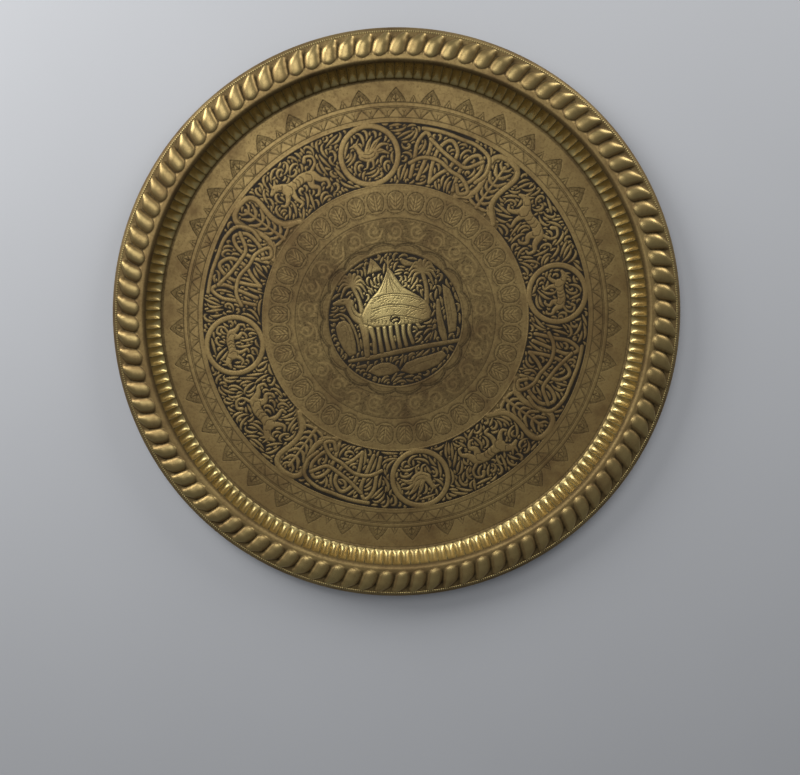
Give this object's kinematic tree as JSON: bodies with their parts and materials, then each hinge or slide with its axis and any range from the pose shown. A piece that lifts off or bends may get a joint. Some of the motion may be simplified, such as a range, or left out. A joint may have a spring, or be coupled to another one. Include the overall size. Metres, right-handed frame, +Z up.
{
  "type": "round serving tray",
  "caption": "Large round chased brass tray with a gadrooned rim, a fluted wall, a wired edge and black-filled ornament.",
  "frame": {"origin": "centre of the underside, on the surface that the tray rests on", "axes": "+Z up out of the tray's well, +Y towards the top of the tray as it was pictured standing"},
  "size_m": [0.9998, 1, 0.0481],
  "materials": {
    "brass": "aged, satin, chased",
    "black_composition": "matt resin and soot fill",
    "iron_wire": "drawn iron wire, darkened"
  },
  "bodies": {
    "root": {"tray_sheet": "brass", "rim_wire": "iron_wire", "roundel_fill_1": "black_composition", "scroll_fill_1": "black_composition", "palmette_fill_1": "black_composition", "animal_fill_1": "black_composition", "roundel_fill_2": "black_composition", "scroll_fill_2": "black_composition", "palmette_fill_2": "black_composition", "animal_fill_2": "black_composition", "roundel_fill_3": "black_composition", "scroll_fill_3": "black_composition", "palmette_fill_3": "black_composition", "animal_fill_3": "black_composition", "roundel_fill_4": "black_composition", "scroll_fill_4": "black_composition", "palmette_fill_4": "black_composition", "animal_fill_4": "black_composition", "centre_fill": "black_composition"}
  },
  "joints": []
}
